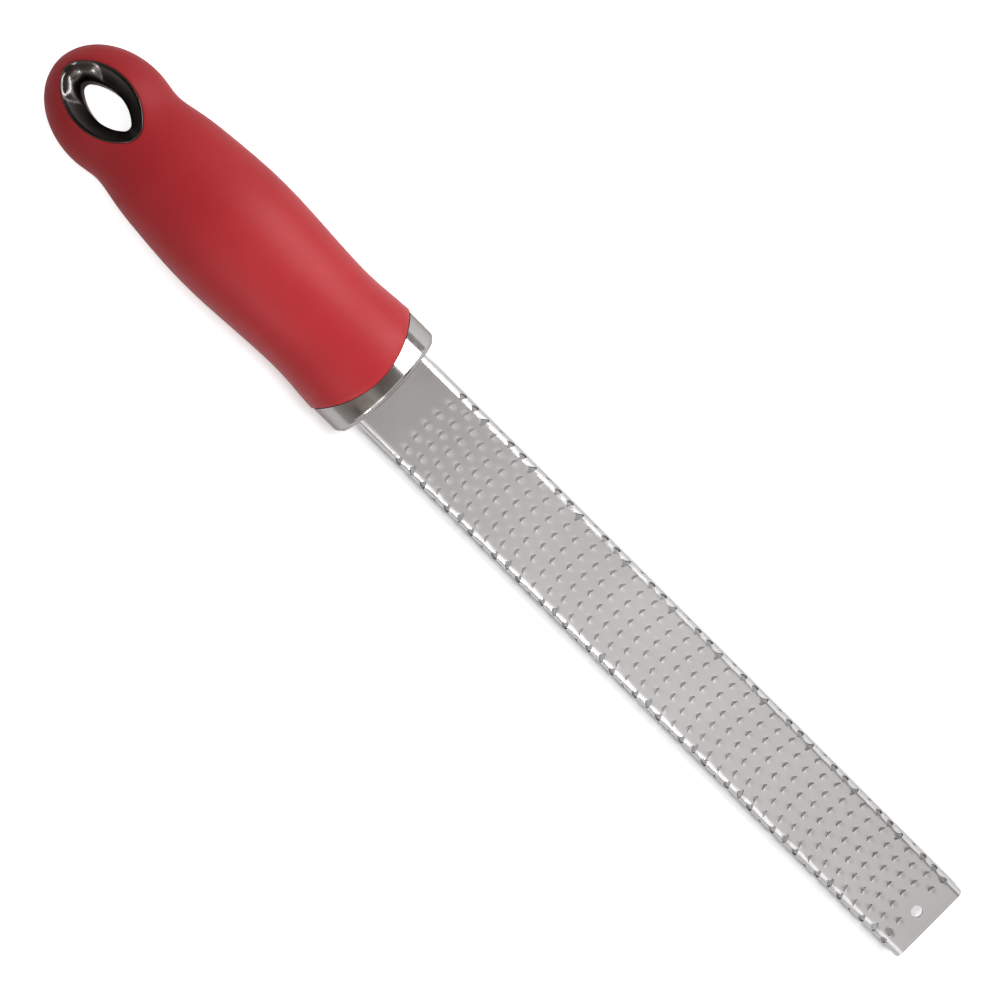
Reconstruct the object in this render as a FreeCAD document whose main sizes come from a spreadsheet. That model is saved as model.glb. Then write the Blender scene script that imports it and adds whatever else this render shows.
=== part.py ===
"""Rasp zester: an etched and folded blade, held by its tang in a two-part core under a soft grip.

Every piece is drawn with the grip's rear end at zero, x towards the blade's tip, y across, and z up
from the handle's axis. Each piece's Placement then carries it to the part's frame, whose origin is
the middle of the underside of the whole tool's box.
"""
import FreeCAD, Part
import math
import os

import Sketcher

V = FreeCAD.Vector

# Driving dimensions, in millimetres. Places along the handle are measured from its rear end.
SIZES = {
    # grip: widths across and heights of its round form at seven places
    "bulb_place": 19.5,
    "bulb_width": 31.4,
    "bulb_height": 21.0,
    "neck_place": 27.6,
    "neck_width": 29.6,
    "neck_height": 21.4,
    "rise_place": 36.0,
    "rise_width": 32.5,
    "rise_height": 24.0,
    "belly_place": 62.0,
    "belly_width": 36.9,
    "belly_height": 30.0,
    "waist_place": 92.5,
    "waist_width": 34.4,
    "waist_height": 28.2,
    "flare_place": 105.5,
    "flare_width": 36.0,
    "flare_height": 28.9,
    "mouth_place": 117.0,
    "mouth_width": 36.6,
    "mouth_height": 29.3,
    "grip_wall": 2.4,
    "grip_front": 114.6,
    "grip_front_radius": 27.0,
    "foot_depth": 0.5,
    # ferrule: the bright band and the sleeve behind it
    "ferrule_front": 119.9,
    "ferrule_front_radius": 42.0,
    "ferrule_width": 35.6,
    "ferrule_height": 28.4,
    "ferrule_wall": 1.8,
    "ferrule_rim_radius": 1.2,
    "sleeve_length": 18.1,
    "socket_depth": 10.0,
    # eyelet: the lining of the hanging hole
    "eyelet_place": 16.6,
    "eyelet_length": 24.8,
    "eyelet_width": 16.8,
    "eyelet_end_radius": 4.6,
    "eyelet_wall": 1.1,
    "throat_length": 16.4,
    "throat_width": 8.4,
    "throat_end_radius": 1.8,
    # blade: a folded channel in front, a flat tang behind
    "blade_reach": 206.5,
    "blade_width": 25.5,
    "sheet_thickness": 0.5,
    "bend_radius": 2.2,
    "flange_depth": 6.0,
    "channel_inset": 6.0,
    "blade_gap": 0.1,
    "tang_length": 67.1,
    "tang_width": 18.0,
    "tip_hole_radius": 1.65,
    "tip_hole_inset": 5.6,
    # teeth: rows along the blade, teeth across it
    "first_row": 11.55,
    "row_pitch": 4.45,
    "tooth_pitch": 3.95,
    "row_arch_radius": 35.0,
    "tooth_reach": 12.4,
    "hole_margin": 4.6,
    "last_row_inset": 6.5,
    "slit_length": 2.1,
    "slit_width": 0.95,
    "lip_height": 0.6,
    "lip_run": 1.9,
    "lip_overhang": 0.15,
    # dowels through the tang
    "pin_radius": 2.0,
    "pin_length": 16.0,
    "pin_gap": 0.05,
    "front_pin_inset": 23.1,
    "pin_spacing": 30.0,
    # every cutting tool runs this far past what it cuts
    "overrun": 5.0,
}

STATIONS = ("bulb", "neck", "rise", "belly", "waist", "flare", "mouth")
FUNNEL_SHARES = (-1.25, -0.6, 0.0, 0.6, 1.25)
ROW_PHASE_SHARES = (0.0, 0.25, -0.25, 0.5)
LIP_ROOT_SHARE = 0.8
LIP_CREST_SHARE = 0.55

doc = FreeCAD.newDocument("RaspZester")


def write_sheet():
    """Put every driving dimension into a named cell of the spreadsheet."""
    cells = doc.addObject("Spreadsheet::Sheet", "Sizes")
    for row, (name, value) in enumerate(SIZES.items(), start=1):
        cells.set(f"A{row}", name)
        cells.set(f"B{row}", str(value))
        cells.setAlias(f"B{row}", name)
    doc.recompute()
    return cells


sheet = write_sheet()


def size(name):
    """The value of one named cell."""
    return float(getattr(sheet, name))


def bind(thing, **formulas):
    """Tie properties of an object to formulas in which every word is a cell of the sheet."""
    for prop, formula in formulas.items():
        words = formula.split()
        tied = [f"Sizes.{word}" if word in SIZES else word for word in words]
        thing.setExpression(prop.replace("__", "."), " ".join(tied))


def seat(thing, label):
    """Name a finished piece and carry it from the handle's rear end to the part's frame."""
    thing.Label = label
    bind(
        thing,
        Placement__Base__x="0 - ( ferrule_front + blade_reach ) / 2",
        Placement__Base__z="belly_height / 2 - foot_depth",
    )
    return thing


def group(kind, name, things):
    """A boolean of several objects, or a compound of them."""
    joined = doc.addObject(kind, name)
    if kind == "Part::Compound":
        joined.Links = things
    else:
        joined.Shapes = things
    return joined


def cut(name, base, tool):
    """What is left of one object outside another."""
    left = doc.addObject("Part::Cut", name)
    left.Base = base
    left.Tool = tool
    return left


def solid_feature(name, shape):
    """An object that holds a shape worked out here from the sheet's sizes."""
    feature = doc.addObject("Part::Feature", name)
    feature.Shape = shape
    return feature


# Plain tools: rods, boxes and cylinders tied to the sheet

ACROSS = FreeCAD.Rotation(V(0, 1, 0), V(0, 0, 1), V(1, 0, 0), "ZXY")


def elliptic_rod(name, width, height, start, end):
    """A rod of elliptic section along x, from one place to another."""
    section = doc.addObject("Part::Ellipse", name + "_section")
    section.Placement = FreeCAD.Placement(V(), ACROSS)
    bind(
        section,
        MajorRadius=f"( {width} ) / 2",
        MinorRadius=f"( {height} ) / 2",
        Placement__Base__x=start,
    )
    rod = doc.addObject("Part::Extrusion", name)
    rod.Base = section
    rod.DirMode = "Custom"
    rod.Dir = V(1, 0, 0)
    rod.Solid = True
    bind(rod, LengthFwd=f"( {end} ) - ( {start} )")
    return rod


def block(name, start, end, width, low, high):
    """A box along x, centred across, between two heights."""
    box = doc.addObject("Part::Box", name)
    bind(
        box,
        Length=f"( {end} ) - ( {start} )",
        Width=width,
        Height=f"( {high} ) - ( {low} )",
        Placement__Base__x=start,
        Placement__Base__y=f"0 - ( {width} ) / 2",
        Placement__Base__z=low,
    )
    return box


def post(name, place, radius, low, high):
    """An upright cylinder on the tool's middle plane."""
    cylinder = doc.addObject("Part::Cylinder", name)
    bind(
        cylinder,
        Radius=radius,
        Height=f"( {high} ) - ( {low} )",
        Placement__Base__x=place,
        Placement__Base__z=low,
    )
    return cylinder


# The handle's round form: elliptic sections whose half width and half height follow one smooth curve

def form_curve(inset):
    """A curve of place, half width and half height along the handle, `inset` inside its skin."""
    stations = [
        V(size(n + "_place"), size(n + "_width") / 2 - inset, size(n + "_height") / 2 - inset)
        for n in STATIONS
    ]
    bulb = stations[0]
    round_share = math.sqrt(0.5)
    rear = V(inset, 0, 0)
    shoulder = V(inset + (bulb.x - inset) * (1 - round_share), bulb.y * round_share, bulb.z * round_share)
    points = [rear, shoulder] + stations
    curve = Part.BSplineCurve()
    curve.interpolate(
        Points=points,
        Tangents=[V(0, bulb.y, bulb.z)] * len(points),
        TangentFlags=[point is rear for point in points],
    )
    spans = curve.getKnots()
    for here, there in zip(spans, spans[1:]):
        curve.insertKnot((here + there) / 2)
    return curve


def form_patch(curve, start, end):
    """A quarter of the form's skin: each pole of the curve swept as an exact elliptic arc."""
    corner = V(start.x + end.x, start.y + end.y, 0)
    poles = []
    for pole in curve.getPoles():
        poles.append([V(pole.x, pole.y * turn.x, pole.z * turn.y) for turn in (start, corner, end)])
    weights = [[1, math.sqrt(0.5), 1] for _ in poles]
    patch = Part.BSplineSurface()
    patch.buildFromPolesMultsKnots(
        poles,
        curve.getMultiplicities(),
        [3, 3],
        curve.getKnots(),
        [0, 1],
        False,
        False,
        curve.Degree,
        2,
        weights,
    )
    return patch.toShape()


def handle_form(name, inset):
    """The closed round form of the handle, `inset` inside the grip's skin."""
    curve = form_curve(inset)
    turns = [V(1, 0, 0), V(0, 1, 0), V(-1, 0, 0), V(0, -1, 0)]
    faces = [form_patch(curve, here, there) for here, there in zip(turns, turns[1:] + turns[:1])]
    front = curve.getPoles()[-1]
    ring = Part.Ellipse(V(), front.y, front.z).toShape()
    ring.Placement = FreeCAD.Placement(V(front.x, 0, 0), ACROSS)
    faces.append(Part.Face(Part.Wire([ring])))
    shell = Part.makeCompound(faces)
    shell.sewShape()
    return solid_feature(name, Part.Solid(shell.Shells[0]))


# The eyelet's trumpet: ovals of four arcs, widest at both faces of the bulb

def oval(half_length, half_width, end_radius, height):
    """An oval with slightly pointed ends: two long side arcs, tangent to two end arcs."""
    run = half_length - end_radius
    side_radius = (run**2 + half_width**2 - end_radius**2) / (2 * (half_width - end_radius))
    drop = side_radius - half_width
    lean = math.atan2(run, drop)
    along = run + end_radius * math.sin(lean)
    across = end_radius * math.cos(lean)
    corners = [V(along, across, height), V(-along, across, height)]
    corners += [V(-along, -across, height), V(along, -across, height)]
    tops = [V(0, half_width, height), V(-half_length, 0, height)]
    tops += [V(0, -half_width, height), V(half_length, 0, height)]
    ends = corners[1:] + corners[:1]
    arcs = [Part.Arc(*three).toShape() for three in zip(corners, tops, ends)]
    return Part.Wire(arcs)


def trumpet(name, wall):
    """The hanging hole's double funnel, `wall` inside the lining, through and past both faces of the bulb."""
    reach = size("bulb_height") / 2
    rings = []
    for share in FUNNEL_SHARES:
        flare_share = share * share
        sizes = []
        for rim, throat in (
            (size("eyelet_length") / 2, size("throat_length") / 2 + size("eyelet_wall")),
            (size("eyelet_width") / 2, size("throat_width") / 2 + size("eyelet_wall")),
            (size("eyelet_end_radius"), size("throat_end_radius") + size("eyelet_wall")),
        ):
            sizes.append(throat + (rim - throat) * flare_share - wall)
        rings.append(oval(*sizes, share * reach))
    funnel = solid_feature(name, Part.makeLoft(rings, True))
    bind(funnel, Placement__Base__x="eyelet_place")
    return funnel


# The blade: a folded channel, a flat tang and the etched teeth

def origin_plane(body, role):
    """One of a body's own origin planes."""
    return next(plane for plane in body.Origin.OriginFeatures if plane.Role == role)


def new_sketch(body, name, role):
    """An empty sketch on one of a body's origin planes."""
    sketch = body.newObject("Sketcher::SketchObject", name)
    sketch.AttachmentSupport = [(origin_plane(body, role), "")]
    sketch.MapMode = "FlatFace"
    return sketch


def dimension(sketch, name, formula, *places):
    """Add one driving constraint and tie it to a formula of the sheet."""
    sketch.addConstraint(Sketcher.Constraint(*places))
    sketch.renameConstraint(sketch.ConstraintCount - 1, name)
    bind(sketch, **{f"Constraints__{name}": formula})


def channel_sketch(body, name, gap):
    """The folded sheet's section, grown by a gap on every side: two flanges, two bends and a web."""
    top = size("sheet_thickness") + gap
    bottom = top - gap - size("flange_depth") - gap
    inner_top = -gap
    half = size("blade_width") / 2 + gap
    thick = top - inner_top
    radius = size("bend_radius") + gap
    bend_z = top - radius
    bend_y = half - radius
    sketch = new_sketch(body, name, "YZ_Plane")
    axis = V(0, 0, 1)
    quarter = math.pi / 2

    def line(y0, z0, y1, z1):
        return sketch.addGeometry(Part.LineSegment(V(y0, z0, 0), V(y1, z1, 0)))

    def bend(side, bend_radius):
        start = 0 if side > 0 else quarter
        circle = Part.Circle(V(side * bend_y, bend_z, 0), axis, bend_radius)
        return sketch.addGeometry(Part.ArcOfCircle(circle, start, start + quarter))

    left_outer = line(-half, bottom, -half, bend_z)
    left_bend = bend(-1, radius)
    web_top = line(-bend_y, top, bend_y, top)
    right_bend = bend(1, radius)
    right_outer = line(half, bend_z, half, bottom)
    right_foot = line(half, bottom, half - thick, bottom)
    right_inner = line(half - thick, bottom, half - thick, bend_z)
    right_fold = bend(1, radius - thick)
    web_under = line(bend_y, inner_top, -bend_y, inner_top)
    left_fold = bend(-1, radius - thick)
    left_inner = line(-half + thick, bend_z, -half + thick, bottom)
    left_foot = line(-half + thick, bottom, -half, bottom)
    start, end, middle = 1, 2, 3
    for first, first_end, second, second_end in (
        (left_outer, end, left_bend, end),
        (left_bend, start, web_top, start),
        (web_top, end, right_bend, end),
        (right_bend, start, right_outer, start),
        (right_inner, end, right_fold, start),
        (right_fold, end, web_under, start),
        (web_under, end, left_fold, start),
        (left_fold, end, left_inner, start),
    ):
        sketch.addConstraint(Sketcher.Constraint("Tangent", first, first_end, second, second_end))
    for first, second in (
        (right_outer, right_foot),
        (right_foot, right_inner),
        (left_inner, left_foot),
        (left_foot, left_outer),
    ):
        sketch.addConstraint(Sketcher.Constraint("Coincident", first, end, second, start))
    sketch.addConstraint(Sketcher.Constraint("Coincident", left_bend, middle, left_fold, middle))
    sketch.addConstraint(Sketcher.Constraint("Coincident", right_bend, middle, right_fold, middle))
    sketch.addConstraint(Sketcher.Constraint("Equal", left_bend, right_bend))
    sketch.addConstraint(Sketcher.Constraint("Horizontal", right_foot))
    sketch.addConstraint(Sketcher.Constraint("Horizontal", left_foot))
    sketch.addConstraint(Sketcher.Constraint("Symmetric", web_top, start, web_top, end, -2))
    sketch.addConstraint(Sketcher.Constraint("Symmetric", left_foot, end, right_foot, start, -2))
    grown = "blade_gap" if gap else "0"
    across = (left_foot, end, right_foot, start)
    through = (web_under, end, left_bend, start)
    down = (right_foot, start, web_top, end)
    dimension(sketch, "Bend", f"bend_radius + {grown}", "Radius", right_bend, radius)
    dimension(sketch, "Across", f"blade_width + 2 * {grown}", "DistanceX", *across, 2 * half)
    dimension(sketch, "Sheet", f"sheet_thickness + 2 * {grown}", "DistanceY", *through, thick)
    dimension(sketch, "Deep", f"flange_depth + 2 * {grown}", "DistanceY", *down, top - bottom)
    dimension(sketch, "Level", f"sheet_thickness + {grown}", "DistanceY", -1, 1, web_top, end, top)
    return sketch


def channel_pad(body, name, gap, start, end):
    """The folded section carried along x from one place to another."""
    sketch = channel_sketch(body, name + "_section", gap)
    bind(sketch, AttachmentOffset__Base__z=start)
    pad = body.newObject("PartDesign::Pad", name)
    pad.Profile = sketch
    bind(pad, Length=f"( {end} ) - ( {start} )")
    return pad


def blade_blank():
    """The folded blade and its flat tang, with the tip's hole and the dowels' holes, but no teeth."""
    body = doc.addObject("PartDesign::Body", "blade_blank")
    channel_pad(body, "channel", 0, "ferrule_front - channel_inset", "ferrule_front + blade_reach")
    tang = new_sketch(body, "tang_plan", "XY_Plane")
    rear = size("ferrule_front") - size("tang_length")
    front = size("ferrule_front")
    half = size("tang_width") / 2
    corners = [V(rear, -half, 0), V(front, -half, 0), V(front, half, 0), V(rear, half, 0)]
    sides = [
        tang.addGeometry(Part.LineSegment(first, second))
        for first, second in zip(corners, corners[1:] + corners[:1])
    ]
    for first, second in zip(sides, sides[1:] + sides[:1]):
        tang.addConstraint(Sketcher.Constraint("Coincident", first, 2, second, 1))
    tang.addConstraint(Sketcher.Constraint("Horizontal", sides[0]))
    tang.addConstraint(Sketcher.Constraint("Horizontal", sides[2]))
    tang.addConstraint(Sketcher.Constraint("Vertical", sides[3]))
    tang.addConstraint(Sketcher.Constraint("Symmetric", sides[1], 1, sides[1], 2, -1))
    dimension(tang, "Wide", "tang_width", "DistanceY", sides[1], 1, sides[1], 2, 2 * half)
    dimension(tang, "Long", "tang_length", "DistanceX", sides[0], 1, sides[0], 2, front - rear)
    dimension(tang, "Front", "ferrule_front", "DistanceX", -1, 1, sides[0], 2, front)
    pad = body.newObject("PartDesign::Pad", "tang")
    pad.Profile = tang
    bind(pad, Length="sheet_thickness")
    doc.recompute()
    holes = new_sketch(body, "hole_plan", "XY_Plane")
    front_pin = "ferrule_front - front_pin_inset"
    for name, place, radius in (
        ("Tip", "ferrule_front + blade_reach - tip_hole_inset", "tip_hole_radius"),
        ("FrontPin", front_pin, "pin_radius + pin_gap"),
        ("RearPin", front_pin + " - pin_spacing", "pin_radius + pin_gap"),
    ):
        at = value_of(place)
        wide = value_of(radius)
        hole = holes.addGeometry(Part.Circle(V(at, 0, 0), V(0, 0, 1), wide))
        holes.addConstraint(Sketcher.Constraint("PointOnObject", hole, 3, -1))
        dimension(holes, name + "Place", place, "DistanceX", -1, 1, hole, 3, at)
        dimension(holes, name + "Radius", radius, "Radius", hole, wide)
    pocket = body.newObject("PartDesign::Pocket", "holes")
    pocket.Profile = holes
    pocket.Reversed = True
    bind(pocket, Length="overrun")
    return body


def value_of(formula):
    """The number that a sum of named sizes gives now."""
    words = formula.split()
    total = size(words[0])
    for sign, word in zip(words[1::2], words[2::2]):
        total += size(word) if sign == "+" else -size(word)
    return total


def tooth_places():
    """Where each tooth stands: its place along the blade and its place across the unfolded sheet."""
    start = size("ferrule_front") + size("first_row")
    tip = size("ferrule_front") + size("blade_reach")
    hole = tip - size("tip_hole_inset")
    pitch = size("tooth_pitch")
    rows = int((tip - size("last_row_inset") - start) / size("row_pitch")) + 1
    most = int(size("tooth_reach") / pitch) + 1
    places = []
    for row in range(rows):
        shift = ROW_PHASE_SHARES[row % len(ROW_PHASE_SHARES)]
        for step in range(-most, most + 1):
            across = (step + shift) * pitch
            if abs(across) > size("tooth_reach"):
                continue
            arch = size("row_arch_radius")
            along = start + row * size("row_pitch") + arch - math.sqrt(arch**2 - across**2)
            if math.hypot(along - hole, across) < size("hole_margin"):
                continue
            places.append((along, across))
    return places


def tooth_frame(along, across):
    """The placement on the folded sheet's outer face of a tooth drawn flat at the origin."""
    flat_half = size("blade_width") / 2 - size("bend_radius")
    past = max(abs(across) - flat_half, 0)
    turn = past / size("bend_radius")
    side = math.copysign(1, across)
    y = side * (min(abs(across), flat_half) + size("bend_radius") * math.sin(turn))
    z = size("sheet_thickness") - size("bend_radius") * (1 - math.cos(turn))
    swing = FreeCAD.Rotation(V(0, 0, 1), -math.degrees(math.asin(across / size("row_arch_radius"))))
    tilt = FreeCAD.Rotation(V(1, 0, 0), -side * math.degrees(turn))
    return FreeCAD.Placement(V(along, y, z), tilt * swing)


def tooth_slit():
    """The slit in front of a tooth, as a tool that cuts through the sheet."""
    depth = 2 * size("sheet_thickness")
    corner = V(-size("slit_width"), -size("slit_length") / 2, -depth)
    return Part.makeBox(size("slit_width"), size("slit_length"), 2 * depth, corner)


def tooth_lip():
    """The raised lip behind a slit: a faceted half cone whose sharp open end faces the handle."""
    height = size("lip_height")
    half = size("slit_length") / 2
    crest = half * LIP_CREST_SHARE
    root = LIP_ROOT_SHARE * size("sheet_thickness")
    edge = -size("lip_overhang")
    mouth = [V(edge, -half, -root), V(edge, -crest, height), V(edge, crest, height), V(edge, half, -root)]
    tail = V(edge + (size("lip_run") - edge) * (height + root) / height, 0, -root)
    faces = [Part.Face(Part.makePolygon(mouth + mouth[:1]))]
    for here, there in zip(mouth, mouth[1:] + mouth[:1]):
        faces.append(Part.Face(Part.makePolygon([here, there, tail, here])))
    shell = Part.makeCompound(faces)
    shell.sewShape()
    lip = Part.Solid(shell.Shells[0])
    return lip


def copies(shape, frames):
    """A copy of a shape at every frame."""
    placed = []
    for frame in frames:
        copy = shape.copy()
        copy.Placement = frame
        placed.append(copy)
    return placed


def make_blade():
    """The blade with every lip raised and every slit then cut, which squares each lip's open end."""
    blank = blade_blank()
    doc.recompute()
    frames = [tooth_frame(*place) for place in tooth_places()]
    print(len(frames), "teeth")
    lipped = blank.Shape.fuse(copies(tooth_lip(), frames))
    return solid_feature("toothed_blade", lipped.cut(copies(tooth_slit(), frames)))


# Tools shared by the pieces that meet

SLEEVE_REAR = "ferrule_front - sleeve_length"
SOCKET_END = "ferrule_front - sleeve_length + socket_depth"
TANG_REAR = "ferrule_front - tang_length"


def front_waste():
    """What lies in front of the grip's arched front edge."""
    ahead = block(
        "ahead_of_grip",
        "grip_front - grip_front_radius",
        "ferrule_front + overrun",
        "2 * ( grip_front_radius + overrun )",
        "0 - belly_height",
        "belly_height",
    )
    arch = post(
        "grip_arch",
        "grip_front - grip_front_radius",
        "grip_front_radius",
        "0 - belly_height - overrun",
        "belly_height + overrun",
    )
    return cut("front_waste", ahead, arch)


def make_ferrule(waste):
    """The chrome collar: an arched band in front and a thin sleeve behind, with a slot for the blade."""
    band = elliptic_rod("band", "ferrule_width", "ferrule_height", SLEEVE_REAR, "ferrule_front")
    nose = post(
        "ferrule_arch",
        "ferrule_front - ferrule_front_radius",
        "ferrule_front_radius",
        "0 - ferrule_height",
        "ferrule_height",
    )
    arched = group("Part::MultiCommon", "arched_band", [band, nose, waste])
    doc.recompute()
    rim_edges = [
        (number, size("ferrule_rim_radius"), size("ferrule_rim_radius"))
        for number, edge in enumerate(arched.Shape.Edges, start=1)
        if edge.BoundBox.XMax > size("ferrule_front") - size("ferrule_rim_radius") / 2
    ]
    rounded = doc.addObject("Part::Fillet", "rounded_band")
    rounded.Base = arched
    rounded.Edges = rim_edges
    sleeve = elliptic_rod(
        "sleeve",
        "ferrule_width - 2 * grip_wall",
        "ferrule_height - 2 * grip_wall",
        SLEEVE_REAR,
        "ferrule_front - ferrule_rim_radius",
    )
    socket = elliptic_rod(
        "socket",
        "ferrule_width - 2 * grip_wall - 2 * ferrule_wall",
        "ferrule_height - 2 * grip_wall - 2 * ferrule_wall",
        SLEEVE_REAR,
        SOCKET_END,
    )
    blade_slot = doc.addObject("PartDesign::Body", "blade_slot")
    channel_pad(blade_slot, "slot", size("blade_gap"), SOCKET_END, "ferrule_front + overrun")
    whole = group("Part::MultiFuse", "solid_ferrule", [rounded, sleeve])
    hollows = group("Part::MultiFuse", "ferrule_hollows", [socket, blade_slot])
    return cut("ferrule", whole, hollows), sleeve


def make_dowels():
    """The two steel dowels, one solid each."""
    front = "ferrule_front - front_pin_inset"
    pins = [
        post("front_pin", front, "pin_radius", "0 - pin_length / 2", "pin_length / 2"),
        post("rear_pin", front + " - pin_spacing", "pin_radius", "0 - pin_length / 2", "pin_length / 2"),
    ]
    return group("Part::Compound", "dowels", pins)


def dowel_bores():
    """The dowels' holes in the core, a named gap larger all round."""
    front = "ferrule_front - front_pin_inset"
    low = "0 - pin_length / 2 - pin_gap"
    high = "pin_length / 2 + pin_gap"
    bores = [
        post("front_bore", front, "pin_radius + pin_gap", low, high),
        post("rear_bore", front + " - pin_spacing", "pin_radius + pin_gap", low, high),
    ]
    return group("Part::MultiFuse", "dowel_bores", bores)


def make_core(inner_form, funnel):
    """The two hard halves: the form under the grip, and a nose that fills the ferrule's socket."""
    behind = block(
        "behind_sleeve", "0 - overrun", SLEEVE_REAR, "belly_width", "0 - belly_height", "belly_height"
    )
    trunk = group("Part::MultiCommon", "core_trunk", [inner_form, behind])
    nose = elliptic_rod(
        "core_nose",
        "ferrule_width - 2 * grip_wall - 2 * ferrule_wall - 2 * pin_gap",
        "ferrule_height - 2 * grip_wall - 2 * ferrule_wall - 2 * pin_gap",
        SLEEVE_REAR + " - overrun",
        SOCKET_END,
    )
    whole = group("Part::MultiFuse", "core_whole", [trunk, nose])
    tang_seat = block(
        "tang_seat",
        TANG_REAR + " - blade_gap",
        "ferrule_front",
        "tang_width + 2 * blade_gap",
        "0",
        "sheet_thickness + blade_gap",
    )
    hollows = group("Part::MultiFuse", "core_hollows", [funnel, tang_seat, dowel_bores()])
    bored = cut("bored_core", whole, hollows)
    halves = []
    for name, low, high in (("upper_half", "0", "belly_height"), ("lower_half", "0 - belly_height", "0")):
        side = block(name + "_side", "0 - overrun", "ferrule_front", "belly_width", low, high)
        halves.append(group("Part::MultiCommon", name, [bored, side]))
    return halves


def make_eyelets(outer_form, funnel):
    """The chrome lining of the hanging hole, flush with the bulb, in an upper and a lower piece."""
    lining = group("Part::MultiCommon", "flush_lining", [funnel, outer_form])
    hollow = cut("open_lining", lining, trumpet("throat", size("eyelet_wall")))
    pieces = []
    for name, low, high in (("lining_above", "0", "belly_height"), ("lining_below", "0 - belly_height", "0")):
        side = block(name + "_side", "0 - overrun", "rise_place", "belly_width", low, high)
        pieces.append(group("Part::MultiCommon", name, [hollow, side]))
    return pieces


def make_grip(outer_form, inner_form, funnel, sleeve, waste):
    """The soft overmould: the round form outside the core, the sleeve and the eyelet, flat underneath."""
    filling = group("Part::MultiFuse", "grip_filling", [inner_form, funnel, sleeve, waste])
    round_grip = cut("round_overmould", outer_form, filling)
    under = block(
        "under_foot",
        "0 - overrun",
        "ferrule_front",
        "belly_width",
        "0 - belly_height",
        "foot_depth - belly_height / 2",
    )
    return cut("overmould", round_grip, under)


def build():
    """Make every piece and return them under their labels."""
    outer_form = handle_form("outer_form", 0)
    inner_form = handle_form("inner_form", size("grip_wall"))
    funnel = trumpet("funnel", 0)
    waste = front_waste()
    ferrule, sleeve = make_ferrule(waste)
    core_upper, core_lower = make_core(inner_form, funnel)
    eyelet_upper, eyelet_lower = make_eyelets(outer_form, funnel)
    return [
        seat(make_blade(), "rasp_blade"),
        seat(ferrule, "front_ferrule"),
        seat(core_upper, "core_upper"),
        seat(core_lower, "core_lower"),
        seat(make_dowels(), "tang_pins"),
        seat(eyelet_upper, "eyelet_upper"),
        seat(eyelet_lower, "eyelet_lower"),
        seat(make_grip(outer_form, inner_form, funnel, sleeve, waste), "soft_grip"),
    ]


def check(pieces):
    """Stop unless every object was worked out and every piece is a sound solid."""
    for thing in doc.Objects:
        if "Invalid" in thing.State or "Error" in thing.State:
            raise RuntimeError(f"{thing.Name} failed: {thing.State}")
    for piece in pieces:
        if piece.Shape.isNull() or not piece.Shape.isValid() or not piece.Shape.Solids:
            raise RuntimeError(f"{piece.Label} is not a sound solid")


def write(pieces):
    """Write each piece to a file of its own."""
    os.makedirs("parts", exist_ok=True)
    for piece in pieces:
        piece.Shape.exportStep(f"parts/{piece.Label}.step")
        print(piece.Label, len(piece.Shape.Solids), "solids", round(piece.Shape.Volume), "cubic millimetres")


finished = build()
doc.recompute()
check(finished)
write(finished)
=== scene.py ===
# %% [markdown]
# # A rasp zester on a white table
# The tool is long and plain: a soft red handle with a chrome-lined hanging hole, a bright collar, and a
# blade of thin steel that is etched with rows of small teeth and folded down along both sides. The packed
# model already has all of this at its real size. Here each piece that shows is made again as a finer
# surface in the same place, and gets the finish of the real one.

import bmesh
import bpy
import numpy as np
from mathutils import Matrix, Vector


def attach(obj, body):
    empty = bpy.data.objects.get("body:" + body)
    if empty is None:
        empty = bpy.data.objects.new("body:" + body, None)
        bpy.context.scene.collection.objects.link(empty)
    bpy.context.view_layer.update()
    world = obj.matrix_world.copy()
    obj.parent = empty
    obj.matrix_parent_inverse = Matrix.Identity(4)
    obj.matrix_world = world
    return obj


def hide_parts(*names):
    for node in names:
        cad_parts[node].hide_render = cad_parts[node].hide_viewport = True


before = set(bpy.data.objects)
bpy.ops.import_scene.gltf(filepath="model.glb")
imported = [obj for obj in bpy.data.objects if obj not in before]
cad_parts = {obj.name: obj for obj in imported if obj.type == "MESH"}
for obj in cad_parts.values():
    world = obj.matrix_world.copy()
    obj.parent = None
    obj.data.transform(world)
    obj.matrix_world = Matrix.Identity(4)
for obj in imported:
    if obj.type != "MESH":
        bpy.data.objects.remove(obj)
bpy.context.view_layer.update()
scene = bpy.context.scene
scene.view_settings.view_transform = "Standard"
print("nodes:", sorted(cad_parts))

# %% [markdown]
# ## From grids of points to closed pieces
# Nearly every surface here is a sheet of points in rows and columns, worked out by a formula. A modeller
# could pull such shapes from cylinders by hand, but a formula keeps the measured sizes. The helpers below
# lay faces over a grid, join the points where two sheets meet, and turn all faces outwards.

# %% Helpers for grids
MM = 0.001
REAR_END = -163.2
AXIS_HEIGHT = 14.5
JOIN_DISTANCE = 2e-6


def in_frame(d, y, z):
    """Points in metres from d along the tool, y across and z above the handle's axis, in millimetres."""
    d, y, z = np.broadcast_arrays(d, y, z)
    return np.stack([d + REAR_END, y, z + AXIS_HEIGHT], axis=-1) * MM


def grid_faces(rows, columns):
    """Faces of a grid stored row by row: a point, its right neighbour and the two in the next row."""
    index = np.arange(rows * columns).reshape(rows, columns)
    corners = [index[:-1, :-1], index[:-1, 1:], index[1:, 1:], index[1:, :-1]]
    return np.stack(corners, axis=-1).reshape(-1, 4)


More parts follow.
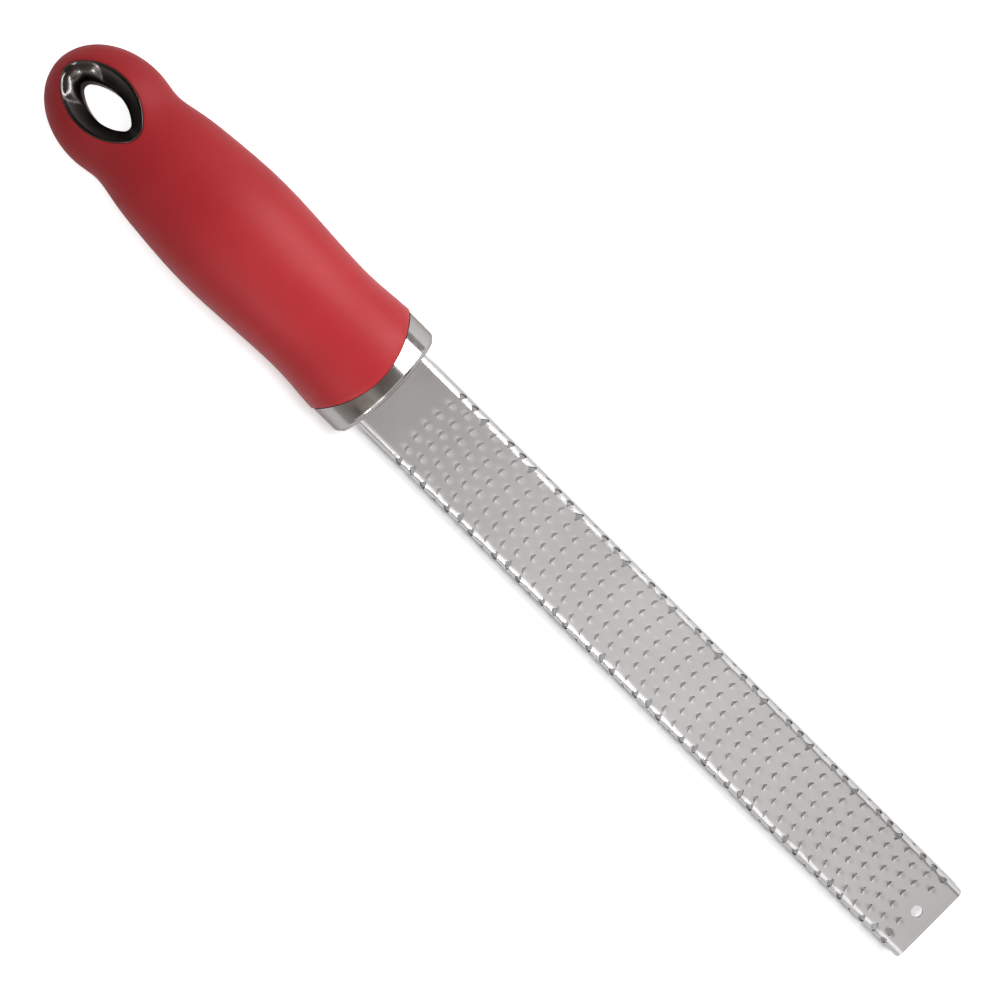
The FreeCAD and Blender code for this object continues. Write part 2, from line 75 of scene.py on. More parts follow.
def mesh_from(name, points, faces, sharp_degrees, finishes=None):
    """A smooth closed mesh: equal points joined, faces turned outwards, edges sharp above an angle.

    Where a piece has two finishes, a number for each face says which one it gets.
    """
    mesh = bpy.data.meshes.new(name)
    mesh.from_pydata(points.tolist(), [], faces.tolist())
    if finishes is not None:
        mesh.polygons.foreach_set("material_index", finishes)
    work = bmesh.new()
    work.from_mesh(mesh)
    bmesh.ops.remove_doubles(work, verts=work.verts, dist=JOIN_DISTANCE)
    bmesh.ops.recalc_face_normals(work, faces=work.faces)
    open_edges = sum(not edge.is_manifold for edge in work.edges)
    work.to_mesh(mesh)
    work.free()
    mesh.shade_smooth()
    mesh.set_sharp_from_angle(angle=np.radians(sharp_degrees))
    print(name, len(mesh.polygons), "faces,", open_edges, "open edges")
    return mesh


def add_piece(name, mesh, node):
    """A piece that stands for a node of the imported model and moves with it."""
    piece = bpy.data.objects.new(name, mesh)
    scene.collection.objects.link(piece)
    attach(piece, "root")
    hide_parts(node)
    return piece


def joined_grids(grids):
    """The points and faces of several grids, one after another."""
    points = [grid.reshape(-1, 3) for grid in grids]
    starts = np.cumsum([0] + [len(p) for p in points[:-1]])
    faces = [grid_faces(*grid.shape[:2]) + start for grid, start in zip(grids, starts)]
    return np.concatenate(points), np.concatenate(faces)


# %% [markdown]
# ## The handle's form
# Seen from above, the handle ends in a round bulb, narrows to a neck, swells to a belly and flares again
# towards the collar. Its half widths were measured along the photograph, and a smooth curve goes through
# them. The heights can't be seen from above, so a few typical ones are enough. Every cross-section is an
# ellipse.

# %% The outline as two smooth curves
BULB = 19.5
WIDTH_PLACES = np.array(
    [19.5, 23.5, 27.4, 31.2, 36.2, 44.2, 52.0, 62.0, 72.5, 80.7, 87.0, 93.0, 98.0, 102.0, 105.5, 110.0, 117.0]
)
HALF_WIDTHS = np.array(
    [15.7, 15.3, 14.82, 15.3, 16.3, 17.3, 18.02, 18.45, 18.14]
    + [17.65, 17.32, 17.2, 17.4, 17.75, 18.02, 18.2, 18.3]
)
HEIGHT_PLACES = np.array([19.5, 27.6, 36.0, 62.0, 92.5, 105.5, 117.0])
HALF_HEIGHTS = np.array([10.5, 10.7, 12.0, 15.0, 14.1, 14.45, 14.65])
FOOT = 14.5


def smooth_curve(places, values, at):
    """A cubic between each two places, with no jump in slope or curvature; level at the first place.

    The unknown is the curvature at each place; every place but the ends asks that the slopes on its two
    sides agree, which makes one small set of linear equations.
    """
    step = np.diff(places)
    slope = np.diff(values) / step
    middle = np.concatenate([[2 * step[0]], 2 * (step[:-1] + step[1:]), [1.0]])
    above = step
    below = np.concatenate([step[:-1], [0.0]])
    wanted = 6 * np.concatenate([[slope[0]], np.diff(slope), [0.0]])
    bend = np.linalg.solve(np.diag(middle) + np.diag(above, 1) + np.diag(below, -1), wanted)
    span = np.clip(np.searchsorted(places, at) - 1, 0, len(step) - 1)
    run = at - places[span]
    start_slope = slope[span] - step[span] * (2 * bend[span] + bend[span + 1]) / 6
    twist = (bend[span + 1] - bend[span]) / (6 * step[span])
    return values[span] + run * (start_slope + run * (bend[span] / 2 + run * twist))


def half_size(d, inset, places, values):
    """Half the width or height at d: a quarter ellipse up to the bulb, then the smooth curve."""
    d = np.asarray(d, dtype=float)
    back = np.clip((BULB - d) / (BULB - inset), 0, 1)
    rear = (values[0] - inset) * np.sqrt(1 - back**2)
    return np.where(d < BULB, rear, smooth_curve(places, values, d) - inset)


def half_width(d, inset=0.0):
    """Half the handle's width, some way inside its skin."""
    return half_size(d, inset, WIDTH_PLACES, HALF_WIDTHS)


def half_height(d, inset=0.0):
    """Half the handle's height, some way inside its skin."""
    return half_size(d, inset, HEIGHT_PLACES, HALF_HEIGHTS)


def skin_height(d, y, inset=0.0):
    """Height of the skin over a point of the plan: the ellipse z = h * sqrt(1 - (y / w)^2)."""
    share = np.clip(y / np.maximum(half_width(d, inset), 1e-6), -1, 1)
    return half_height(d, inset) * np.sqrt(1 - share**2)


belly, neck = 2 * HALF_WIDTHS.max(), 2 * HALF_WIDTHS.min()
print("belly:", round(belly, 2), "mm wide, neck:", round(neck, 2), "mm wide")

# %% [markdown]
# ## The hanging hole's oval
# The chrome lining has a slightly pointed oval rim: two long side arcs that run tangent into two small end
# arcs. Seen from the hole's middle, the rim is a distance for each direction, which makes it easy to lay
# rings of points around it.

# %% The oval in polar form
EYELET = 16.25
RIM_OVAL = np.array([12.8, 8.45, 4.4])
THROAT_OVAL = np.array([8.2, 4.2, 1.8])


def oval_radius(angle, oval, grow=0.0):
    """Distance from the oval's middle to its line, for each direction.

    The oval has a half length, a half width and an end radius. Near the ends the line is the end circle,
    and elsewhere the large side circle that touches both ends from outside.
    """
    length, width, end = (np.asarray(side) + grow for side in oval)
    run = length - end
    side_radius = (run**2 + width**2 - end**2) / (2 * (width - end))
    drop = side_radius - width
    lean = np.hypot(run, drop)
    change = np.arctan2(end * drop / lean, run + end * run / lean)
    cosine, sine = np.abs(np.cos(angle)), np.abs(np.sin(angle))
    on_end = run * cosine + np.sqrt(np.maximum(end**2 - (run * sine) ** 2, 0))
    on_side = -drop * sine + np.sqrt(side_radius**2 - (drop * cosine) ** 2)
    return np.where(np.arctan2(sine, cosine) < change, on_end, on_side)


print("rim:", 2 * RIM_OVAL[0], "by", 2 * RIM_OVAL[1], "mm")

# %% [markdown]
# ## The soft grip
# The red skin is moulded over a hard core, about two and a half millimetres thick. It has three openings:
# the collar's end and the two rims of the hanging hole. One long grid can't go round three openings, so
# the bulb is made of two half shells whose rows run from the rim to the outline, and a tube follows from
# there to the collar. Each grid carries the skin's outside, its rounded lip and its inside.

# %% The bulb's two half shells
WALL = 2.4
BULB_END = 36.0
ACROSS_STEPS = 64
SIDE_STEPS = 14
REAR_STEPS = 60
SHELL_INSIDE_ROWS = 9
SHELL_OUTSIDE_ROWS = 26
LIP = 0.4
LIP_TILT = np.radians([[90], [65], [45], [25]])


def bulb_edge(inset):
    """Plan of the line round a half shell: across the handle in front, along its sides and round the rear."""
    turn = np.linspace(0, np.pi, ACROSS_STEPS + 1)
    swing = np.linspace(0, np.pi, REAR_STEPS + 1)
    side = np.linspace(BULB_END, BULB, SIDE_STEPS + 1)[1:-1]
    side_width = half_width(side, inset)
    rear_d = BULB - (BULB - inset) * np.sin(swing)
    rear_y = -(HALF_WIDTHS[0] - inset) * np.cos(swing)
    d = np.concatenate([np.full_like(turn, BULB_END), side, rear_d, side[::-1], [BULB_END]])
    front_y = half_width(BULB_END, inset) * np.cos(turn)
    y = np.concatenate([front_y, -side_width, rear_y, side_width[::-1], front_y[:1]])
    return d, y


def ring(angle, oval, grow=0.0):
    """Plan of an oval line round the hanging hole, one point for each direction."""
    radius = oval_radius(angle, oval, grow)
    return EYELET + radius * np.cos(angle), radius * np.sin(angle)


def shell_rows(rim, edge, inset, count):
    """Rows of skin from the rim to the edge; they crowd towards the edge, where the skin turns upright."""
    share = (1 - (1 - np.linspace(0, 1, count)) ** 2)[:, None]
    d = rim[0] + share * (edge[0] - rim[0])
    y = rim[1] + share * (edge[1] - rim[1])
    return d, y, skin_height(d, y, inset)


def half_shell(side):
    """Upper (1) or lower (-1) half of the bulb's skin: inside, rim wall, rounded lip and outside.

    The lip is part of a circle: at a tilt, it lies lip * (1 - sin) outside the rim and lip * (1 - cos)
    below the skin.
    """
    outer_edge = bulb_edge(0.0)
    angle = np.arctan2(outer_edge[1], outer_edge[0] - EYELET)
    rim_d, rim_y = ring(angle, RIM_OVAL)
    inside = shell_rows((rim_d, rim_y), bulb_edge(WALL), WALL, SHELL_INSIDE_ROWS)
    spread = 1 + LIP * (1 - np.sin(LIP_TILT)) / oval_radius(angle, RIM_OVAL)
    lip_d = EYELET + (rim_d - EYELET) * spread
    lip_y = rim_y * spread
    lip_z = skin_height(lip_d, lip_y) - LIP * (1 - np.cos(LIP_TILT))
    outside = shell_rows(ring(angle, RIM_OVAL, LIP), outer_edge, 0.0, SHELL_OUTSIDE_ROWS)
    parts = zip((part[::-1] for part in inside), (lip_d, lip_y, lip_z), outside)
    d, y, z = (np.concatenate(rows) for rows in parts)
    return in_frame(d, y, side * z)


bulb_shells = [half_shell(1), half_shell(-1)]
print("half shell:", bulb_shells[0].shape[0], "rows by", bulb_shells[0].shape[1], "columns")

# %% The tube from the neck to the collar
GRIP_FRONT = 114.6
GRIP_FRONT_RADIUS = 27.0
FRONT_ROUNDS = 6
FRONT_LIP = 0.55
FRONT_TILT = np.radians([[20], [40], [60], [75], [90]])
SLEEVE_REAR = 101.8
SLEEVE_HALF = (15.45, 11.85)
SLEEVE_STEP = 0.01
SLEEVE_ROWS = 4
TUBE_ROWS = 58
TUBE_INSIDE_ROWS = 20


def grip_front(y):
    """Where the grip ends: an arc across the handle, furthest forward on the middle line."""
    return GRIP_FRONT - (GRIP_FRONT_RADIUS - np.sqrt(GRIP_FRONT_RADIUS**2 - y**2))


def grip_tube():
    """The skin as a tube: rows of ellipses forward to the arched front, over its lip and back inside.

    The width at the front depends on where it ends, and that on the width, so a few rounds settle both.
    """
    turn = np.linspace(0, 2 * np.pi, 2 * ACROSS_STEPS + 1)
    cosine, sine = np.cos(turn), np.sin(turn)
    end = np.full_like(turn, GRIP_FRONT)
    for _ in range(FRONT_ROUNDS):
        end = grip_front(half_width(end) * cosine) - FRONT_LIP
    outer_d = BULB_END + np.linspace(0, 1, TUBE_ROWS)[:, None] * (end - BULB_END)
    lip_d = end + FRONT_LIP * np.sin(FRONT_TILT)
    drop = FRONT_LIP * (1 - np.cos(FRONT_TILT))
    rear = SLEEVE_REAR + SLEEVE_STEP
    sleeve_d = rear + np.linspace(1, 0, SLEEVE_ROWS)[:, None] * (end + FRONT_LIP - rear)
    inner_d = np.linspace(SLEEVE_REAR, BULB_END, TUBE_INSIDE_ROWS)[:, None] + 0 * end
    width, height = (
        np.concatenate([half(outer_d), half(end) - drop, np.full_like(sleeve_d, sleeve), half(inner_d, WALL)])
        for half, sleeve in zip((half_width, half_height), SLEEVE_HALF)
    )
    d = np.concatenate([outer_d, lip_d, sleeve_d, inner_d])
    return in_frame(d, width * cosine, np.maximum(height * sine, -FOOT))


grip_points, grip_quads = joined_grids([*bulb_shells, grip_tube()])
grip_mesh = mesh_from("grip_skin", grip_points, grip_quads, sharp_degrees=50)
grip = add_piece("grip_skin", grip_mesh, "soft_grip")

# %% [markdown]
# ## The chrome lining of the hole
# The lining is let into the handle like the seat of a countersunk screw: from each face a cone of about
# 45 degrees leads to a straight throat. To the rear the cone becomes a trumpet, flat near the rim and steep
# near the throat. Such a wall shows the dark room twice mirrored, which is why it looks nearly black from
# above. A ring of profile points is carried around the oval: up the throat and the cone, over a small
# rounded rim and back down behind it. The same ring, mirrored, makes the lower funnel.

# %% Two funnels
RIM_ROLL = 0.2
RIM_STAND = 0.1
ROLL_ANGLES = np.radians(np.linspace(165, 15, 9))
CONE_DEPTH = 3.5
CONE_SHARES = np.array([0, 0, 0, 0.008, 0.035, 0.085, 0.16, 0.3, 0.44, 0.58, 0.72, 0.86, 1])
CONE_DROPS = np.array([1.25, 1.13, 1.05, 0.99, 0.92, 0.84, 0.7, 0.56, 0.42, 0.28, 0.14, 0])
THROAT_SHIFT = 1.1
REAR_FLARE = 2.4
FLARE_START = 0.75
FLARE_SPAN = 0.23
LINING = 0.9
EYELET_STEPS = 144


def ease(share):
    """Falls smoothly from one to zero as the share goes from zero to one."""
    share = np.clip(share, 0, 1)
    return (1 - share) ** 2 * (1 + 2 * share)


def funnel(side):
    """One funnel, upper (1) or lower (-1).

    At a share f of the cone, the oval is throat + (rim - throat) * f, and it lies depth * drop below the
    rim; to the rear, the drop is raised to a power, which makes the trumpet. A rounded corner leads into
    the upright throat, and the rim is a half circle on top.
    """
    angle = np.linspace(0, 2 * np.pi, EYELET_STEPS + 1)
    top = skin_height(*ring(angle, RIM_OVAL)) + RIM_STAND - RIM_ROLL
    share = CONE_SHARES[:, None, None]
    rearward = 1 - ease((-np.cos(angle) - FLARE_START) / FLARE_SPAN)
    depth = CONE_DEPTH * CONE_DROPS[:, None] ** (1 + REAR_FLARE * rearward)
    inner = THROAT_OVAL + (RIM_OVAL - 2 * RIM_ROLL - THROAT_OVAL) * share
    outer = THROAT_OVAL + LINING + (RIM_OVAL - THROAT_OVAL - LINING) * share
    ahead = THROAT_SHIFT * (1 - share[..., 0])
    d_in, y_in = ring(angle, np.moveaxis(inner, -1, 0))
    d_out, y_out = ring(angle, np.moveaxis(outer, -1, 0))
    d_in, d_out = d_in + ahead, d_out + ahead
    roll = ROLL_ANGLES[:, None]
    rim_d, rim_y = ring(angle, RIM_OVAL)
    tuck = 1 + RIM_ROLL * (np.cos(roll) - 1) / oval_radius(angle, RIM_OVAL)
    z_in = np.concatenate([0 * top[None], top - depth])
    d = np.concatenate([d_in, EYELET + (rim_d - EYELET) * tuck, d_out[::-1], d_in[:1]])
    y = np.concatenate([y_in, rim_y * tuck, y_out[::-1], y_in[:1]])
    z = np.concatenate([z_in, top + RIM_ROLL * np.sin(roll), z_in[::-1], z_in[:1]])
    return in_frame(d, y, side * z)


funnels = []
for label, side in (("upper", 1), ("lower", -1)):
    funnel_mesh = mesh_from(f"funnel_{label}", *joined_grids([funnel(side)]), sharp_degrees=60)
    piece = add_piece(f"funnel_{label}", funnel_mesh, f"eyelet_{label}")
    funnels.append(piece)

# %% [markdown]
# ## The collar
# Between grip and blade sits a bright collar with an oval section. Its rear edge follows the grip's arched
# front, and its own front is nearly straight, with rounded corners and a soft rim. It is a stack of
# ellipses: the hidden sleeve, the bright band, the rim, and rings that close the front face.

# %% A stack of ellipses for the collar
COLLAR_HALF = (17.8, 14.2)
COLLAR_FRONT = 119.2
COLLAR_CROWN = 85.0
CORNER_START = 13.4
CORNER_DEPTH = 0.9
COLLAR_RIM = 1.1
COLLAR_TILT = np.radians(np.linspace(10, 90, 9))[:, None]
BAND_ROWS = 14
FACE_SHRINK = (1 - np.linspace(0.02, 1, 24) ** 1.5)[:, None]
SLEEVE_SHARE = np.array([[0.0], [1.0], [1.0]])
SLEEVE_GAP = 0.05
SEAM = 0.03


def collar_front(y):
    """Where the collar ends: a flat crown across the middle, and a round corner at each side."""
    over = np.clip((np.abs(y) - CORNER_START) / (COLLAR_HALF[0] - CORNER_START), 0, 1)
    corner = CORNER_DEPTH * (1 - np.sqrt(1 - over**2))
    return COLLAR_FRONT - y**2 / (2 * COLLAR_CROWN) - corner


def collar_sides(inside, outside):
    """Half widths or heights of the ellipses: the sleeve, the band, a quarter circle and the front's rings.

    On the quarter circle, the side shrinks by rim * (1 - cos of the tilt).
    """
    band = np.full((BAND_ROWS, 1), outside)
    rim = outside - COLLAR_RIM * (1 - np.cos(COLLAR_TILT))
    face = (outside - COLLAR_RIM) * FACE_SHRINK
    return np.concatenate([SLEEVE_SHARE * (inside - SLEEVE_GAP), band, rim, face])


def collar_rows():
    """Ellipses from the middle of the sleeve's rear end to the middle of the front face."""
    turn = np.linspace(0, 2 * np.pi, 2 * ACROSS_STEPS + 1)
    cosine, sine = np.cos(turn), np.sin(turn)
    width, height = (collar_sides(*sides) for sides in zip(SLEEVE_HALF, COLLAR_HALF))
    start = grip_front(COLLAR_HALF[0] * cosine) + SEAM
    end = collar_front(COLLAR_HALF[0] * cosine) - COLLAR_RIM
    rear = np.full_like(turn, SLEEVE_REAR)
    band = start + np.linspace(0, 1, BAND_ROWS)[:, None] * (end - start)
    rim = end + COLLAR_RIM * np.sin(COLLAR_TILT)
    face = collar_front((COLLAR_HALF[0] - COLLAR_RIM) * FACE_SHRINK * cosine)
    d = np.concatenate([np.stack([rear, rear, start]), band, rim, face])
    return in_frame(d, width * cosine, height * sine)


collar_mesh = mesh_from("collar", *joined_grids([collar_rows()]), sharp_degrees=50)
collar = add_piece("collar", collar_mesh, "front_ferrule")

# %% [markdown]
# ## The blade as one folded sheet
# The blade starts as flat sheet. Acid cuts a small crescent beside each tooth, the tooth's lip is pressed
# up, and both long sides are folded down. The mesh is made in the same order: a flat grid with eight
# columns to a tooth and ten lines to a row of teeth, holes and lips in it, and one formula that folds it.
# The rows of teeth shift sideways by quarters of a tooth, so every tooth still meets the grid's lines.

# %% The flat grid
BLADE_START = 113.9
BLADE_TIP = 326.4
TOOTH_PITCH = 4.08
ROW_PITCH = 4.45
FIRST_ROW = 131.45
ROWS = 43
TOOTH_COLUMNS = 8
ROW_LINES = 10
COLUMN_STEP = TOOTH_PITCH / TOOTH_COLUMNS
ROW_STEP = ROW_PITCH / ROW_LINES
LINES_BEFORE = 3
HALF_COLUMNS = 29
PLAIN_LINES = 15
TIP_LINES = 11
FLANGE_COLUMNS = np.array([15.3, 16.5, 17.806])
TANG_PLACES = np.array(
    [52.8, 58, 63, 65.0, 66.2, 67.4, 68.6, 73, 80, 88, 93, 95.0, 96.2, 97.4, 98.6, 103, 108]
)

inner_columns = COLUMN_STEP * np.arange(-HALF_COLUMNS, HALF_COLUMNS + 1)
columns = np.concatenate([-FLANGE_COLUMNS[::-1], inner_columns, FLANGE_COLUMNS])
middle_column = len(FLANGE_COLUMNS) + HALF_COLUMNS
teeth_start = FIRST_ROW - LINES_BEFORE * ROW_STEP
plain_places = np.linspace(BLADE_START, teeth_start, PLAIN_LINES)[:-1]
tooth_places = teeth_start + ROW_STEP * np.arange(ROW_LINES * ROWS + 1)
tip_places = np.linspace(tooth_places[-1], BLADE_TIP, TIP_LINES)[1:]
places = np.concatenate([TANG_PLACES, plain_places, tooth_places, tip_places])
first_line = len(TANG_PLACES) + len(plain_places) + LINES_BEFORE
grid_shape = (len(places), len(columns))
print("sheet:", grid_shape[0], "lines by", grid_shape[1], "columns")

# %% Where the teeth stand
TEETH_EACH_SIDE = 5
ROW_SHIFTS = np.array([0, 2, -2, 4])
TOOTH_REACH = 14.4
LAST_BEND_COLUMN = 24
TIP_HOLE = (320.8, 1.65)
HOLE_MARGIN = 4.6
ARCH_RADIUS = 42.0
ARCH_HALF = 13.0


def arch(v):
    """How far a row of teeth bows towards the tip: a circle's rise, r - sqrt(r^2 - v^2)."""
    return ARCH_RADIUS - np.sqrt(ARCH_RADIUS**2 - np.minimum(np.abs(v), ARCH_HALF) ** 2)


teeth_across = np.arange(-TEETH_EACH_SIDE, TEETH_EACH_SIDE + 1)
row_number, across_number = np.meshgrid(np.arange(ROWS), teeth_across, indexing="ij")
tooth_column = TOOTH_COLUMNS * across_number + ROW_SHIFTS[row_number % len(ROW_SHIFTS)]
# A tooth a quarter pitch past the bend moves back onto it.
tooth_column -= 2 * np.sign(tooth_column) * (np.abs(tooth_column) == LAST_BEND_COLUMN + 2)
tooth_v = tooth_column * COLUMN_STEP
tooth_d = FIRST_ROW + ROW_PITCH * row_number + arch(tooth_v)
kept = (np.abs(tooth_v) <= TOOTH_REACH) & (np.hypot(tooth_d - TIP_HOLE[0], tooth_v) > HOLE_MARGIN)
tooth_line = first_line + ROW_LINES * row_number[kept]
tooth_column = middle_column + tooth_column[kept]
print(len(tooth_line), "teeth")

# %% [markdown]
# ## One tooth
# Seen from above, a tooth is a crescent-shaped slit, bowed towards the handle. The sheet dips to it in a
# shallow dish, and behind it a small sharp lip stands up and looks at the handle. On the grid this is a
# patch of eight by ten faces: the slit's eight faces are left out, its edge points move onto two arcs, and
# the points around it are lifted or lowered. On the bends the fold pulls the slits open, so they are wider
# and longer there.

# %% A tooth's patch
LIP_HEIGHT = 0.14
LIP_RUN = 4
LIP_THINNING = 0.5
DISH_DEPTH = 0.09
DISH_RUN = 2
SLIT_HALF = 0.38
SLIT_BACK = 0.1
SLIT_BOW = 0.35
SLIT_TAPER = 0.6
BEND_GAPE = 0.65

# Columns and lines are counted from the middle of the slit, which is two columns long to each side.
across = np.arange(-4, 5)[None, :]
along = np.arange(-LINES_BEFORE, ROW_LINES - 2)[:, None]
dome = np.cos(np.pi * np.clip(across / 4, -0.5, 0.5)) ** 2
lip = LIP_HEIGHT * dome * ease((along - 1) / LIP_RUN)
dish = -DISH_DEPTH * dome * ease((-1 - along) / DISH_RUN)
lift = np.where(along > 0, lip, dish)
lift[LINES_BEFORE] = (lift[LINES_BEFORE - 1] + lift[LINES_BEFORE + 1]) / 2
thin = LIP_THINNING * dome * (along == 1)
bow = np.clip(across / 2, -1, 1) ** 2
sides = np.clip(along, -1, 1)
taper = 1 - SLIT_TAPER * bow
edge_place = SLIT_BOW * bow - SLIT_BACK + sides * SLIT_HALF * taper
fade = np.interp(np.abs(across), [2, 4], [1, 0]) * np.interp(along, [-3, -1, 1, 4], [0, 1, 1, 0])
nudge = (edge_place - sides * ROW_STEP) * fade
gape = BEND_GAPE * sides * taper * fade
print("patch:", lift.shape, "points, lip", round(float(lift.max()), 2), "mm high")

# %% The patch at every tooth
BEND_FROM = 10.3
BEND_SPAN = 1.2
LAST_ROW_SIDE = 8.0
TANG_HALF = 9.0

tooth_side = np.abs(columns[tooth_column])
last_row = tooth_line == tooth_line.max()
on_bend = np.clip((tooth_side - BEND_FROM) / BEND_SPAN, 0, 1)
on_bend[last_row & (tooth_side > LAST_ROW_SIDE)] = 1
lifts, nudges, thins = np.zeros(grid_shape), np.zeros(grid_shape), np.zeros(grid_shape)
patch = (tooth_line[:, None, None] + along, tooth_column[:, None, None] + across)
np.add.at(lifts, patch, lift)
np.add.at(nudges, patch, nudge + on_bend[:, None, None] * gape)
np.add.at(thins, patch, thin)
shown = np.ones((grid_shape[0] - 1, grid_shape[1] - 1), dtype=bool)
slit_lines = tooth_line[:, None, None] + np.array([-1, 0])[:, None]
slit_columns = tooth_column[:, None, None] + np.array([-2, -1, 0, 1])
shown[slit_lines, slit_columns] = False
long_slits = (on_bend > 0.5) & ~last_row
slit_ends = tooth_column[long_slits, None, None] + np.array([-3, 2])
shown[slit_lines[long_slits], slit_ends] = False
shown[: len(TANG_PLACES)] &= np.abs(columns[:-1] + columns[1:]) / 2 < TANG_HALF
print("faces on one side:", int(shown.sum()))

# %% [markdown]
# ## Round holes and the fold
# The tip has a round hole, and the hidden tang has two for its dowels. For a round hole in a grid of
# squares, a block of faces is left out and the points of its outline are moved onto the circle. The fold
# is then one formula along the sheet's width: flat, a quarter turn, and straight down.

# %% Punch the round holes
DOWEL_HOLES = ((66.8, 2.05), (96.8, 2.05))
PUNCH_SHARE = 0.93
ARCH_FADE = 318.4

arch_share = np.interp(places, [BLADE_START, teeth_start, ARCH_FADE, BLADE_TIP], [0, 1, 1, 0])[:, None]
flat_v = columns[None, :] + 0 * places[:, None]
flat_d = places[:, None] + arch_share * arch(flat_v) + nudges


def punch(centre, radius):
    """Leaves out the block of faces inside a circle and moves the block's points onto the circle."""
    lines = np.flatnonzero(np.abs(places - centre) < PUNCH_SHARE * radius)
    crossed = np.flatnonzero(np.abs(columns) < PUNCH_SHARE * radius)
    shown[lines[0] : lines[-1], crossed[0] : crossed[-1]] = False
    block = np.ix_(lines, crossed)
    away_d, away_v = flat_d[block] - centre, flat_v[block]
    scale = radius / np.maximum(np.hypot(away_d, away_v), 1e-9)
    flat_d[block] = centre + away_d * scale
    flat_v[block] = away_v * scale


for centre, radius in (TIP_HOLE,) + DOWEL_HOLES:
    punch(centre, radius)
print("faces left on one side:", int(shown.sum()))

# %% Fold and thicken the sheet
SHEET = 0.5
BEND = 2.2
BLADE_HALF = 12.75
FLAT_HALF = BLADE_HALF - BEND


def fold(v):
    """Where a point of the flat sheet's width lands, and which way the outer face looks there.

    Up to the bend it stays flat; along the bend it turns by its length over the radius; past it, it drops.
    """
    side, out = np.sign(v), np.abs(v)
    turn = np.clip((out - FLAT_HALF) / BEND, 0, np.pi / 2)
    below = np.maximum(out - FLAT_HALF - BEND * np.pi / 2, 0)
    y = np.minimum(out, FLAT_HALF) + BEND * np.sin(turn)
    z = SHEET - BEND * (1 - np.cos(turn)) - below
    return side * y, z, side * np.sin(turn), np.cos(turn)


def sheet_solid():
    """Outer and inner face of the sheet and the walls between them along every edge, slit and hole."""
    y, z, normal_y, normal_z = fold(flat_v)
    depth = lifts - SHEET * (1 - thins)
    outer = in_frame(flat_d, y + lifts * normal_y, z + lifts * normal_z).reshape(-1, 3)
    inner = in_frame(flat_d, y + depth * normal_y, z + depth * normal_z).reshape(-1, 3)
    count = len(outer)
    top = grid_faces(*grid_shape)[shown.ravel()]
    starts, ends = top.ravel(), np.roll(top, -1, axis=1).ravel()
    lone = ~np.isin(starts * count + ends, ends * count + starts)
    walls = np.stack([ends[lone], starts[lone], starts[lone] + count, ends[lone] + count], axis=-1)
    faces = np.concatenate([top, top[:, ::-1] + count, walls])
    cut_edge = np.repeat([0, 1], [2 * len(top), len(walls)])
    used, renumbered = np.unique(faces, return_inverse=True)
    return np.concatenate([outer, inner])[used], renumbered.reshape(-1, 4), cut_edge


sheet_points, sheet_quads, sheet_finishes = sheet_solid()
sheet_mesh = mesh_from("blade_sheet", sheet_points, sheet_quads, sharp_degrees=42, finishes=sheet_finishes)
blade = add_piece("blade_sheet", sheet_mesh, "rasp_blade")

# %% [markdown]
# ## Finishes
# Nothing on this tool is one flat colour. The rubber is finely grained and slightly uneven, the steel is
# satin with a faint cloud in it, and chrome picks up smudges. Two small node groups make these effects and
# each material uses them with its own values: one gives a cloudy value, the other a fine grain. A few
# helpers keep the many nodes readable.

# %% Helpers for node trees
def put(tree, socket, value):
    """Sets a socket to a value, or links another node's output to it."""
    if isinstance(value, bpy.types.NodeSocket):
        tree.links.new(value, socket)
    else:
        socket.default_value = value


def ramp(tree, value, start, end, low=0.0, high=1.0):
    """Goes from low to high in a straight line while the value goes from start to end, and stays there."""
    node = tree.nodes.new("ShaderNodeMapRange")
    labels = ("Value", "From Min", "From Max", "To Min", "To Max")
    for label, setting in zip(labels, (value, start, end, low, high)):
        put(tree, node.inputs[label], setting)
    return node.outputs["Result"]


def blend(tree, share, first, second):
    """A colour between two others; each is a colour or another node's output."""
    node = tree.nodes.new("ShaderNodeMix")
    node.data_type = "RGBA"
    put(tree, node.inputs["Factor"], share)
    put(tree, node.inputs["A"], first)
    put(tree, node.inputs["B"], second)
    return node.outputs["Result"]


def vector_math(tree, operation, first, second):
    """A node that works on two vectors, such as MULTIPLY or DISTANCE."""
    node = tree.nodes.new("ShaderNodeVectorMath")
    node.operation = operation
    put(tree, node.inputs[0], first)
    put(tree, node.inputs[1], second)
    return node


# %% Shared node groups
NOISE_SPAN = (0.3, 0.7)


def new_group(name, inputs, output):
    """An empty shader group with named inputs, each with a kind and a value, and one output of a number."""
    group = bpy.data.node_groups.new(name, "ShaderNodeTree")
    for label, kind, value in inputs:
        socket = group.interface.new_socket(name=label, in_out="INPUT", socket_type=kind)
        socket.default_value = value
    group.interface.new_socket(name=output, in_out="OUTPUT", socket_type="NodeSocketFloat")
    return group, group.nodes.new("NodeGroupInput").outputs, group.nodes.new("NodeGroupOutput").inputs


def noise_on(group, place, scale, detail):
    """Noise at a place, of a given scale."""
    node = group.nodes.new("ShaderNodeTexNoise")
    node.inputs["Detail"].default_value = detail
    put(group, node.inputs["Vector"], place)
    put(group, node.inputs["Scale"], scale)
    return node.outputs["Fac"]


def cloud_group():
    """Cloudy value: noise on Object coordinates, spread between a low and a high number."""
    number = "NodeSocketFloat"
    inputs = [("Scale", number, 100.0), ("Low", number, 0.0), ("High", number, 1.0)]
    group, given, result = new_group("cloudy_value", inputs, "Value")
    place = group.nodes.new("ShaderNodeTexCoord").outputs["Object"]
    noise = noise_on(group, place, given["Scale"], 3.0)
    put(group, result["Value"], ramp(group, noise, *NOISE_SPAN, given["Low"], given["High"]))
    return group


